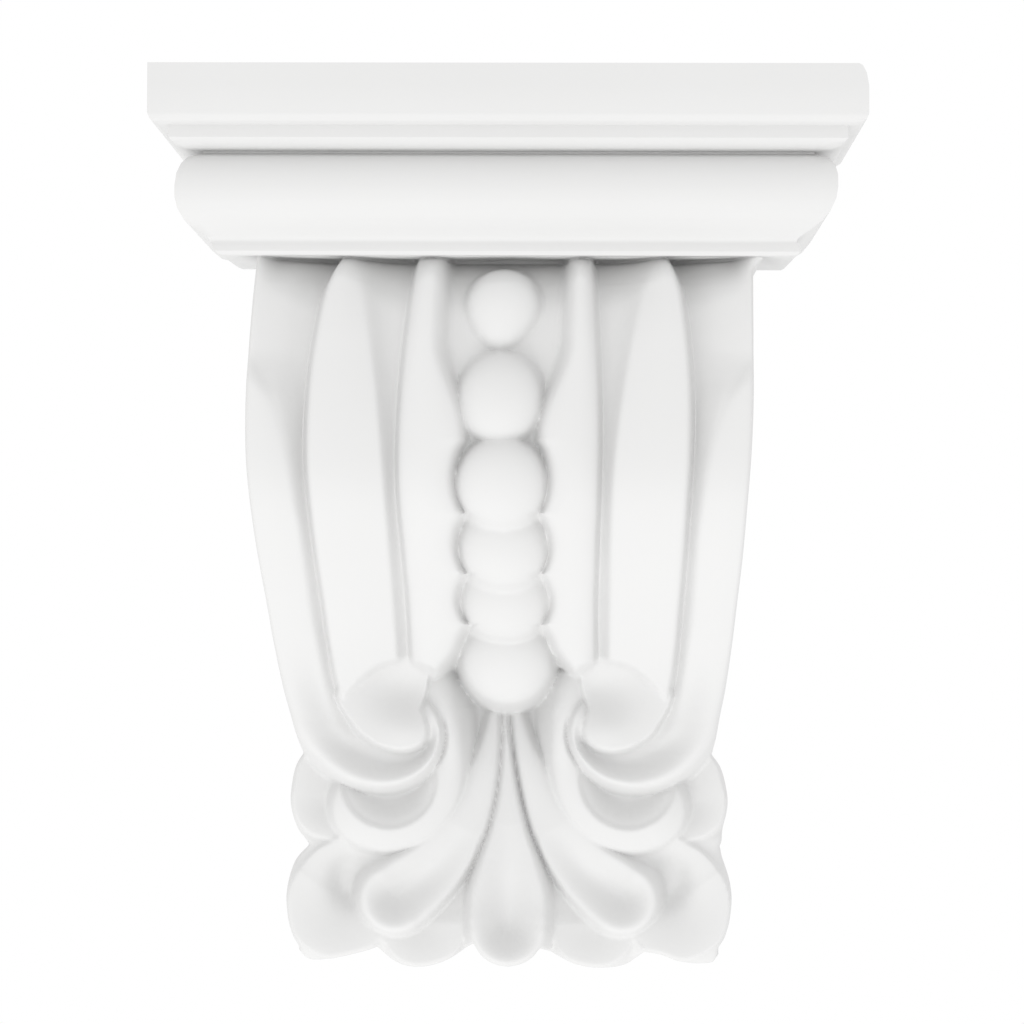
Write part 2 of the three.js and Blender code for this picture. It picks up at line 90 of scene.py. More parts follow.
def soft_max(first: Array, second: Array, radius: Value) -> Array:
    """Return the larger of two heights, with a fillet where they come within the radius."""
    near = np.maximum(radius - np.abs(first - second), 0.0) / radius
    return np.maximum(first, second) + near * near * radius * 0.25


def soft_min(first: Array, second: Array, radius: Value) -> Array:
    """Return the smaller of two heights, with a fillet where they come within the radius."""
    return -soft_max(-first, -second, radius)


def curve(knots: Knots, at: Array, value: int = 1) -> Array:
    """Return a smooth curve through knots.

    Args:
        knots: Rows of a position and one or more values there.
        at: Positions to read the curve at.
        value: Which value of a row to follow.

    Returns:
        The curve's value at each position.
    """
    xs = np.array([knot[0] for knot in knots])
    ys = np.array([knot[value] for knot in knots])
    slopes = np.empty_like(ys)
    slopes[1:-1] = (ys[2:] - ys[:-2]) / (xs[2:] - xs[:-2])
    slopes[0] = (ys[1] - ys[0]) / (xs[1] - xs[0])
    slopes[-1] = (ys[-1] - ys[-2]) / (xs[-1] - xs[-2])
    at = np.clip(np.asarray(at, dtype=float), xs[0], xs[-1])
    i = np.clip(np.searchsorted(xs, at, side="right") - 1, 0, len(xs) - 2)
    gap = xs[i + 1] - xs[i]
    s = (at - xs[i]) / gap
    s2, s3 = s * s, s * s * s
    return ((2 * s3 - 3 * s2 + 1) * ys[i] + (s3 - 2 * s2 + s) * gap * slopes[i]
            + (3 * s2 - 2 * s3) * ys[i + 1] + (s3 - s2) * gap * slopes[i + 1])


@dataclass(frozen=True)
class Change:
    """A size that passes smoothly from a first to a last value between two places."""

    first: float
    last: float
    begins: float
    ends: float

    def at(self, place: Value) -> Array:
        """Return the size at each place."""
        return mix(self.first, self.last, ramp(self.begins, self.ends, place))


@dataclass(frozen=True)
class Swelling:
    """A soft round rise: its middle, its height and the squares of its reach out and down."""

    a: float
    t: float
    height: float
    spread_a: float
    spread_t: float

    def at(self, a: Array, t: Array) -> Array:
        """Return the rise at each place."""
        away = (a - self.a) ** 2 / self.spread_a + (t - self.t) ** 2 / self.spread_t
        return self.height * np.exp(-away)


@dataclass(frozen=True)
class Groove:
    """A narrow groove along the outside of a scroll; it begins and ends at angles in degrees."""

    depth: float
    beyond: float
    half: float
    begins: Range
    ends: Range

    def at(self, outside: Array, phi: Array) -> Array:
        """Return the groove's depth at a distance outside the scroll and an unwound angle."""
        across = np.clip(1 - np.abs(outside - self.beyond) / self.half, 0, 1)
        return self.depth * across * ramp(*self.begins, phi) * ramp(*self.ends, phi)


# The carving, in millimetres: t runs down from the cornice and a out from the middle line.

@dataclass(frozen=True)
class Outline:
    """The console's front outline: a leaning middle line, its sides and its scalloped foot."""

    corner_half: float = 49.4
    corner_t: float = 159.0
    notch_t: float = 134.8
    notch_reach: float = 2.4
    notch_lean: float = 1.2
    joint_height: float = 3.4
    joint_spare: float = 2.3
    edge_power: int = 8
    sway: Knots = ((0, -0.8), (12, -1.3), (25, -1.7), (50, -2.1), (75, -1.6), (100, -1.0),
                   (125, 0), (165, 0))
    upper: Knots = (
        (0, 56.2), (10, 56.6), (21, 57.0), (34, 57.25), (45, 57.0), (55, 56.3), (67, 55.3),
        (80, 53.9), (88, 53.0), (98, 51.5), (105.7, 49.8), (110, 49.0), (113.6, 48.1))
    middle: Knots = ((113.6, 48.1), (116.5, 50.0), (120, 51.0), (125.2, 51.5), (130.9, 50.3),
                     (135.2, 48.4))
    lower: Knots = ((135.2, 48.4), (139.4, 50.7), (145.1, 52.2), (150.7, 52.1),
                    (156.4, 50.9), (159, 49.4))
    foot_left: tuple[Knots, ...] = (
        ((0, 163.1), (3, 162.5), (6, 160.7), (8.0, 157.7)),
        ((8.0, 157.7), (11.1, 160.1), (14, 161.9), (16.8, 163.0), (19.6, 163.65), (22.4, 163.8),
         (25.2, 163.3), (28.1, 161.7), (30.9, 159.1)),
        ((30.9, 159.1), (34, 160.1), (39.4, 161.4), (45, 162.3), (47.6, 161.9), (49.4, 160)))
    foot_right: tuple[Knots, ...] = (
        ((0, 163.1), (3, 162.4), (5.6, 160.9), (7.4, 158.7)),
        ((7.4, 158.7), (11.4, 161.0), (14.2, 162.4), (17.1, 163.3), (19.9, 163.75),
         (22.7, 163.82), (25.5, 163.65), (28.3, 162.8), (32, 160.0)),
        ((32, 160.0), (34, 160.2), (36.8, 160.9), (39.6, 162.0), (42.5, 162.6), (45.3, 162.8),
         (48.2, 162.4), (49.4, 160.6)))

    def side(self, t: Array) -> Array:
        """Return the half-width at each t."""
        half = np.where(t > self.middle[0][0], curve(self.middle, t), curve(self.upper, t))
        return np.where(t > self.lower[0][0], curve(self.lower, t), half)

    def lean(self, u: Array, t: Array) -> Array:
        """Return how far the edges lean to the right, at the notches and under the cornice.

        Args:
            u: Place across the face as a share of the half-width, -1 to 1.
            t: Distance below the cornice.

        Returns:
            The shift to the right.
        """
        edge = np.abs(u) ** self.edge_power
        notch = self.notch_lean * np.exp(-((t - self.notch_t) / self.notch_reach) ** 2) * edge
        joint = self.joint_spare * np.clip(1.0 - t / self.joint_height, 0.0, 1.0) ** 2
        return notch + joint * np.where(u > 0, edge, 0.0)

    def foot_on(self, side: Side, a: Array) -> Array:
        """Return the t of one side's lower edge: half the centre leaf, a low and a corner lobe.

        Args:
            side: Which side of the middle line.
            a: Places out from the middle line.

        Returns:
            The edge's distance below the cornice.
        """
        centre, low, corner = self.foot_left if side is Side.LEFT else self.foot_right
        edge = np.where(a > low[0][0], curve(low, a), curve(centre, a))
        return np.where(a > corner[0][0], curve(corner, a), edge)

    def foot(self, across: Array) -> Array:
        """Return the t of the lower edge at each place across from the middle line."""
        left, right = (self.foot_on(side, np.abs(across)) for side in Side)
        return np.where(across < 0, left, right)


@dataclass(frozen=True)
class Band:
    """The outer band's section: flat with a rounded crest above, a trough with a rim below."""

    rise: float = 0.84
    bow: float = 1.1
    crest: float = 0.97
    crest_round: float = 1.25
    crest_fades: float = 0.35
    fillet: Change = Change(0.2, 0.5, 0.5, 0.95)
    rim: float = 0.84
    floor: float = 0.10
    floor_ends: float = 0.30
    inner_lift: float = 0.12
    inner_ends: float = 0.4
    lip_drop: float = 0.45

    def section(self, u: Array, break_at: Value, curled: Value) -> Array:
        """Return the height across the band.

        Args:
            u: Place across the band, from its inner edge at 0 to its outer edge at 1.
            break_at: Where the flat part gives way to the rounded crest.
            curled: 0 for the flat band above, 1 for the scroll's trough with its raised rim.

        Returns:
            Height as a share of the band's depth.
        """
        u = np.clip(u, 0.0, 1.0)
        g = np.clip((u - break_at) / (1.0 - break_at), 0.0, 1.0)
        wide = ramp(0.0, self.crest_fades, 1.0 - break_at)
        crest = (self.crest - self.rise) * wide * np.sin(np.pi * g / self.crest_round)
        plain = soft_min(self.rise * (u / break_at) ** self.bow, self.rise + crest,
                         self.fillet.at(break_at))
        dish = (self.floor + (1.0 - self.floor) * ramp(self.floor_ends, self.rim, u)
                + self.inner_lift * (1.0 - ramp(0.0, self.inner_ends, u)))
        lip = 1.0 - self.lip_drop * np.clip((u - self.rim) / (1.0 - self.rim), 0.0, 1.0) ** 2
        return mix(plain, np.where(u < self.rim, dish, lip), curled)


@dataclass(frozen=True)
class Ridges:
    """Two ridges a side, the hollow flutes between them and the outer band."""

    outline: Outline = Outline()
    section: Band = Band()
    crest: Knots = ((0, 58.4), (5, 59.6), (12, 60.6), (20, 61), (42, 60.8), (54, 58.8),
                    (66, 52.3), (78, 43.5), (90, 36), (100, 32), (112, 30), (126, 29.5))
    valley: Knots = ((0, 8.0), (25, 7.6), (50, 6.7), (75, 5.9), (100, 5.6))
    inner: Knots = ((0, 19.5), (11, 20.6), (23.5, 21.6), (34, 22.1), (46, 22.3), (55, 22.1),
                    (67, 21.5), (80, 21.0), (95, 21.0))
    soft: Knots = ((0, 33), (11, 30.8), (23.5, 28.8), (34, 27.4), (46, 26.2), (55, 25.6),
                   (67, 25.1), (80, 24.8), (95, 24.4))
    outer: Knots = ((0, 37), (4, 38.6), (9, 40.2), (23, 42.3), (34, 43), (46, 43), (55, 42.5),
                    (67, 41.7), (80, 40.6), (88, 39.9), (97, 38.6), (105.7, 35.8))
    band: Knots = (
        (0, 57.5), (14, 57.5), (22, 56.6), (27, 53.6), (32.4, 50.7), (40, 48.7), (48, 47.2),
        (55, 46.3), (62, 45.3), (80, 44.0), (88, 43.0), (97, 41.8), (106, 40))
    band_breaks: Range = (0.2, 0.98)
    band_curls: Change = Change(0.0, 0.5, 84.0, 105.7)
    inner_foot: float = 0.74
    outer_foot: float = 0.88
    crown: float = 0.26
    crown_power: float = 2.5
    slope_start: float = 0.3
    slope_share: float = 0.5
    run_on: float = 0.3
    arch: float = 1.65
    fillet: float = 0.12
    channel_neck: Change = Change(13.6, 8.9, 18.0, 40.5)
    channel_cusp: float = 8.6
    channel_shift: float = 0.65
    channel_mouth: Change = Change(0.0, 5.0, 87.5, 98.0)
    cusps: tuple[float, ...] = (41.6, 58.2, 71.7, 83.2, 103)
    bays: tuple[float, ...] = (11.3, 11.2, 11.2, 12.2)
    bay_power: float = 0.6
    edge_round: Change = Change(3.4, 1.2, 18.0, 40.0)
    edge_drop: float = 0.75
    edge_slope: Change = Change(1.3, 2.6, 18.0, 40.0)

    def channel(self, across: Array, t: Array) -> Array:
        """Return the half-width of the beads' channel: open above, scalloped below.

        Args:
            across: Place across from the middle line, whose sign gives the side.
            t: Distance below the cornice.

        Returns:
            The distance from the middle line to the channel's edge.
        """
        half = self.channel_neck.at(t)
        for low, high, bay in zip(self.cusps[:-1], self.cusps[1:], self.bays):
            s = np.clip((t - low) / (high - low), 0.0, 1.0)
            swell = np.clip(np.sin(np.pi * s), 0.0, 1.0) ** self.bay_power
            half = np.where((t > low) & (t <= high), mix(self.channel_cusp, bay, swell), half)
        return half + self.channel_mouth.at(t) + self.channel_shift * np.sign(across)

    def ridge_section(self, a: Array, start: Array, soft: Array, outer: Array) -> Array:
        """Return the outer ridge's section: a slope to its soft edge, then a rounded top.

        Args:
            a: Place out from the middle line.
            start: Where the slope starts.
            soft: Where the slope gives way to the top.
            outer: The ridge's sharp outer edge.

        Returns:
            Height as a share of the ridge's depth.
        """
        s = np.maximum((a - start) / (soft - start), 0.0)
        steep = np.minimum(s, 1.0 + self.run_on) ** 4
        slope = self.inner_foot * mix(s, steep, self.slope_share)
        g = np.clip((a - soft) / (outer - soft), -self.run_on, 1.0)
        top = self.inner_foot + (1.0 - self.inner_foot) * np.sin(np.pi * g / self.arch)
        return soft_min(slope, top, self.fillet)

    def height(self, across: Array, t: Array) -> Array:
        """Return the depth of the ridges, flutes and bands.

        Args:
            across: Place across from the middle line.
            t: Distance below the cornice.

        Returns:
            Depth from the wall.
        """
        a = np.abs(across)
        channel, inner, outer = self.channel(across, t), curve(self.inner, t), curve(self.outer, t)
        span = np.abs(2 * a - channel - inner) / (inner - channel)
        inside = 1.0 - self.crown * span ** self.crown_power
        ridge = self.ridge_section(a, inner + self.slope_start, curve(self.soft, t), outer)
        ridge = mix(self.inner_foot, ridge, np.clip((a - inner) / STEP, 0.0, 1.0))
        wide = curve(self.outline.upper, t) - outer
        break_at = np.clip((curve(self.band, t) - outer) / wide, *self.band_breaks)
        band = self.section.section((a - outer) / wide, break_at, self.band_curls.at(t))
        band = mix(self.outer_foot, band, np.clip((a - outer) / STEP, 0.0, 1.0))
        share = np.where(a < inner, inside, np.where(a < outer, ridge, band))
        reach = self.edge_round.at(t)
        drop = self.edge_drop * reach * np.clip((channel + reach - a) / reach, 0.0, 1.0) ** 2
        drop = drop + self.edge_slope.at(t) * np.maximum(channel - a, 0.0)
        return curve(self.crest, t) - curve(self.valley, t) * (1.0 - share) - drop


@dataclass(frozen=True)
class Lobe:
    """One acanthus lobe along a middle line: a cup with a raised rim, or a rounded back.

    Knots hold a, t, half-width, height and hollow; a negative hollow is a rounded back.
    """

    knots: Knots
    wall: float = 2.6
    floor: float = 0.45
    brim: float = 0.78
    lip: float = 0.125
    back_power: float = 2.4
    steps: int = 160

    def path(self) -> list[Array]:
        """Return points along the lobe's middle line.

        Returns:
            Their a, their t, and the half-width, height and hollow there.
        """
        places = np.array(self.knots, dtype=float)
        run = np.concatenate([[0.0], np.cumsum(np.hypot(*np.diff(places[:, :2], axis=0).T))])
        at = np.linspace(0.0, run[-1], self.steps)
        rows = tuple(tuple(row) for row in np.column_stack([run, places]))
        return [curve(rows, at, value) for value in range(1, 6)]

    def nearest(self, a: Array, t: Array) -> tuple[Array, list[Array]]:
        """Return where each point lies against the lobe's nearest part.

        Args:
            a: Place out from the middle line.
            t: Distance below the cornice.

        Returns:
            How far outside the lobe each point is, and the half-width, height and hollow there.
        """
        pa, pt, *values = self.path()
        outside = np.full(a.shape, np.inf)
        found = [np.zeros(a.shape) for _ in values]
        for i in range(self.steps - 1):
            ba, bt = pa[i + 1] - pa[i], pt[i + 1] - pt[i]
            s = np.clip(((a - pa[i]) * ba + (t - pt[i]) * bt) / (ba * ba + bt * bt), 0.0, 1.0)
            here = [mix(value[i], value[i + 1], s) for value in values]
            away = np.hypot(a - pa[i] - s * ba, t - pt[i] - s * bt) - here[0]
            nearer = away < outside
            outside = np.where(nearer, away, outside)
            found = [np.where(nearer, new, old) for new, old in zip(here, found)]
        return outside, found

    def height(self, a: Array, t: Array) -> Array:
        """Return the lobe's depth from the wall, falling away outside its edge.

        Args:
            a: Place out from the middle line.
            t: Distance below the cornice.

        Returns:
            Depth from the wall.
        """
        outside, (half, top, hollow) = self.nearest(a, t)
        u = np.clip((outside + half) / half, 0.0, 1.0)
        over = self.lip * half * np.clip((u - self.brim) / (1.0 - self.brim), 0.0, 1.0) ** 2
        cup = hollow * (ramp(self.floor, self.brim, u) - 1.0) - over
        shape = np.where(hollow >= 0.0, cup, hollow * u ** self.back_power)
        return top + shape - self.wall * np.maximum(outside, 0.0)


@dataclass(frozen=True)
class Foliage:
    """The acanthus spray under the beads and volutes."""

    bed: Change = Change(13.4, 15.4, 102.0, 112.0)
    bed_rise: float = 0.02
    bed_by_notch: Swelling = Swelling(46.0, 134.0, 4.0, 64.0, 25.0)
    stem: Lobe = Lobe((
        (20, 92.5, 5.0, 24.0, -1.8), (17.0, 98, 4.8, 25.4, -2.4), (14.9, 103, 3.6, 26.2, -2.2),
        (13.6, 110, 2.9, 26.2, -1.8), (14.6, 117, 3.9, 25.4, -1.8), (17.8, 122.6, 5.8, 25.4, -2.0),
        (23, 126.0, 7.8, 25.8, -2.2), (28.8, 127.2, 9.1, 26.2, -2.4),
        (32.0, 126.4, 9.1, 26.4, -2.4)))
    cup_a: float = 28.0
    cup_t: float = 119.5
    cup_radius: float = 11.6
    cup_wall: Change = Change(0.0, 1.28, -0.2, 1.0)
    cup_hollow: Change = Change(0.0, 5.12, 0.0, 7.0)
    long: Lobe = Lobe((
        (2.4, 102, 1.2, 16.2, -1.0), (3.6, 110, 2.2, 18.9, -1.0), (5.4, 117, 3.2, 20.8, -1.0),
        (8.4, 126, 4.4, 22.0, -0.8), (12.6, 134, 5.6, 22.8, 0.6), (18, 140.6, 6.9, 23.5, 2.2),
        (24, 145.4, 8.0, 24.6, 4.4), (26.6, 147.2, 8.2, 25.4, 5.4)), floor=0.0, brim=0.86, wall=3.4)
    centre: Lobe = Lobe((
        (0, 102, 0.6, 16.0, -0.5), (0, 114, 1.4, 19.4, -0.6), (0, 124, 2.5, 21.6, -0.6),
        (0, 132, 4.2, 23.0, 0.2), (0, 140, 6.8, 24.4, 1.4), (0, 147, 8.8, 26.0, 3.6),
        (0, 152, 9.1, 27.6, 5.6), (0, 154.0, 9.0, 28.2, 6.4)), floor=0.0, brim=0.88, wall=3.4)
    far: Lobe = Lobe(((40, 116, 9.5, 20.4, 2.0), (42.0, 124.5, 9.6, 20.8, 2.4)),
                     wall=2.0, floor=0.0, brim=0.95)
    corner: Lobe = Lobe(((28.5, 137.5, 8, 22.2, 0.8), (37.0, 146.0, 13, 21.6, 2.4),
                         (39.5, 149.0, 13.2, 22, 2.4)), wall=0.8, floor=0.0, brim=0.97)
    corner_dimple: Swelling = Swelling(37.4, 143.4, 7.0, 16.0, 26.0)
    low: Lobe = Lobe(((16.0, 140, 7, 18, 1), (19.0, 150, 9.5, 20, 1.6),
                      (20.0, 153.6, 10.5, 21.0, 1.8)), wall=1.2, floor=0.0, brim=0.95)
    low_fillet: float = 1.6
    far_fillet: float = 1.0
    back_fillet: float = 2.4
    front_fillet: float = 0.8
    fillet: float = 0.7
    tuck: Change = Change(0.0, 6.0, 0.0, -2.0)
    gap_left: float = 1.6
    gap_right: float = 2.8
    gap_closes: Range = (2.5, 0.5)

    def wrapping(self, a: Array, t: Array) -> Array:
        """Return the depth of the cupped lobe that wraps the volute."""
        inside = self.cup_radius - np.hypot(a - self.cup_a, t - self.cup_t)
        return self.stem.height(a, t) - self.cup_wall.at(inside) - self.cup_hollow.at(inside)

    def gap(self, side: Side) -> float:
        """Return the depth of the groove between the centre leaf and one side's long leaf."""
        return self.gap_left if side is Side.LEFT else self.gap_right

    def height(self, across: Array, t: Array) -> Array:
        """Return the depth of all lobes but the one that wraps the volute.

        Args:
            across: Place across from the middle line.
            t: Distance below the cornice.

        Returns:
            Depth from the wall.
        """
        a = np.abs(across)
        bed = self.bed.at(t) + self.bed_rise * np.maximum(t - self.bed.ends, 0)
        bed = bed + self.bed_by_notch.at(a, t)
        corner = self.corner.height(a, t) - self.corner_dimple.at(a, t)
        back = soft_max(corner, self.low.height(a, t), self.low_fillet)
        back = soft_max(back, soft_max(self.far.height(a, t), bed, self.far_fillet),
                        self.back_fillet)
        off_long, _ = self.long.nearest(a, t)
        off_centre, _ = self.centre.nearest(a, t)
        back = back - self.tuck.at(off_long)
        front = soft_max(self.long.height(a, t), self.centre.height(a, t), self.front_fillet)
        gap = np.exp(-(off_long - off_centre) ** 2) * ramp(*self.gap_closes, off_long + off_centre)
        left, right = (self.gap(side) for side in Side)
        return soft_max(back, front - gap * np.where(across > 0, right, left), self.fillet)


@dataclass(frozen=True)
class Volute:
    """The scroll that the outer band curls into, round a domed eye; angles in degrees."""

    a: float = 24.8
    t: float = 105.7
    unwinds: float = -144.0
    section: Band = Band()
    break_at: float = 0.3
    curls: Change = Change(0.5, 1.0, 0.0, 40.0)
    end: float = 226.0
    reach: float = 25.0
    tighten: float = 0.00557
    narrowest: float = 0.4
    spiral: Knots = ((-25, 15.6), (-9.5, 12.7), (0, 11.1), (14, 9.8), (39, 7.8), (67, 6.8),
                     (98, 6.7), (127, 7.0), (148, 7.0), (164, 6.6), (190, 5.9), (226, 5.6))
    brow: Knots = ((-180, 5.9), (-150, 5.9), (-138, 8.0), (-120, 13.5), (-100, 15.5),
                   (-40, 15.8), (-25, 15.6), (-9.5, 12.7))
    level: Knots = ((0, 30.78), (8, 30.45), (20, 30.15), (40, 29.9), (70, 29.7), (110, 29.6),
                    (160, 29.4), (188, 28.9), (204, 27.7), (216, 26.0), (226, 25.0))
    scoop: Knots = ((0, 5.6), (30, 5.4), (60, 5.3), (110, 5.0), (140, 3.8), (165, 1.2),
                    (185, 0.2), (226, 0))
    edge_drop: float = 0.6
    wall: float = 4.0
    cut: Knots = ((-160, 30), (-150, 22), (-140, 17.4), (-130, 14.8), (-115, 14.6),
                  (-100, 14.6), (-75, 13.9), (-50, 13.0), (-28, 13.4), (-18, 13.9), (0, 11.3))
    cut_until: float = 90.0
    eye_depth: float = 31.4
    eye_sink: Swelling = Swelling(22.4, 98.1, 5.0, 85.0, 48.0)
    eye_boss: Swelling = Swelling(23.3, 107.2, 0.8, 20.0, 20.0)
    eye_wall: float = 5.0
    eye_reach: float = 17.0

    def polar(self, a: Array, t: Array) -> tuple[Array, Array, Array]:
        """Return places as seen from the eye.

        Args:
            a: Place out from the middle line.
            t: Distance below the cornice.

        Returns:
            The distance from the eye, the plain angle and the unwound angle.
        """
        r = np.hypot(a - self.a, t - self.t)
        turn = np.degrees(np.arctan2(t - self.t, a - self.a))
        return r, turn, np.where(turn < self.unwinds, turn + 360.0, turn)

    def outside(self, phi: Array) -> Array:
        """Return the scroll's outer radius at each unwound angle."""
        return self.reach * np.exp(-self.tighten * np.clip(phi, 0.0, self.end))

    def cut_edge(self, turn: Array) -> Array:
        """Return the radius where the ridges stop, at each plain angle."""
        return curve(self.cut, np.where(turn > self.cut_until, self.cut[0][0], turn))

    def scroll(self, r: Array, phi: Array) -> Array:
        """Return the depth of the scroll's band.

        Args:
            r: Distance from the eye.
            phi: The unwound angle.

        Returns:
            Depth from the wall.
        """
        inside, reach = curve(self.spiral, phi), self.outside(phi)
        u = (r - inside) / np.maximum(reach - inside, self.narrowest)
        share = self.section.section(u, self.break_at, self.curls.at(phi))
        level = curve(self.level, phi)
        band = level - curve(self.scoop, phi) * (1.0 - share)
        band = mix(level - self.edge_drop, band, np.clip((r - inside) / STEP, 0.0, 1.0))
        band = band - self.wall * np.maximum(r - reach, 0.0)
        return np.where((phi < 0) | (phi > self.end) | (u < 0), NOWHERE, band)

    def eye(self, a: Array, t: Array) -> Array:
        """Return the depth of the eye: a hollow under the ridge's end that rises to its edge.

        Args:
            a: Place out from the middle line.
            t: Distance below the cornice.

        Returns:
            Depth from the wall.
        """
        r, turn, phi = self.polar(a, t)
        under_brow = turn < self.brow[-1][0]
        radius = np.where(under_brow, curve(self.brow, turn), curve(self.spiral, phi))
        bowl = self.eye_depth - self.eye_sink.at(a, t) + self.eye_boss.at(a, t)
        return np.where(r < self.eye_reach,
                        bowl - self.eye_wall * np.maximum(r - radius, 0.0), NOWHERE)


@dataclass(frozen=True)
class Beads:
    """The falling row of beads: t, radius, centre's depth, sideways offset and wall of each."""

    rows: Knots = (
        (10.8, 8.4, 54.4, 0.0, 3.2), (13.2, 7.1, 54.6, -0.1, 3.2), (15.4, 5.4, 54.8, -0.2, 3.2),
        (17.5, 3.4, 54.8, -0.3, 3.2), (19.3, 1.8, 54.6, -0.3, 3.2), (31.2, 9.6, 55.4, 0.1, 3.2),
        (32.8, 9.6, 55.4, 0.1, 3.2), (51.3, 10.2, 55.0, 0.7, 3.2), (64.9, 10.2, 47.0, 0.8, 3.2),
        (76.6, 10.5, 37.2, 0.8, 3.2), (91.2, 10.8, 27.8, 0.8, 5.0))
    flatten: float = 0.62
    tilt: float = 0.15
    tilt_from: float = 45.0
    fillet: float = 0.5

    def height(self, across: Array, t: Array) -> Array:
        """Return the depth of the nearest bead.

        Args:
            across: Place across from the middle line.
            t: Distance below the cornice.

        Returns:
            Depth from the wall.
        """
        height = np.full(across.shape, NOWHERE)
        for at, radius, depth, offset, wall in self.rows:
            rho = np.hypot(across - offset, t - at)
            bulge = self.flatten * np.sqrt(np.maximum(radius ** 2 - rho ** 2, 0.0))
            lean = self.tilt * (at - t) * (at > self.tilt_from)
            bead = depth + bulge + lean - wall * np.maximum(rho - radius, 0.0)
            height = soft_max(height, bead, self.fillet)
        return height


@dataclass(frozen=True)
class Roll:
    """How the face rolls back under the cornice, further where it lies deeper."""

    front: float = 61.0
    lowest: Range = (1.0, 15.0)
    reach: float = 3.4
    reach_grows: float = 1.35
    drop: float = 3.6
    drop_grows: float = 0.9
    edge: Range = (0.0, 5.0)

    def back(self, height: Array, from_edge: Array, t: Array) -> Array:
        """Return how far the face rolls back.

        Args:
            height: Depth of the face before the roll.
            from_edge: Distance in from the console's side.
            t: Distance below the cornice.

        Returns:
            The loss of depth.
        """
        low = np.clip(self.front - height, *self.lowest)
        s = np.clip(1.0 - t / (self.reach + self.reach_grows * low), 0.0, 1.0)
        drop = (self.drop + self.drop_grows * low) * ramp(*self.edge, from_edge)
        return drop * (1.0 - np.sqrt(1.0 - s * s))


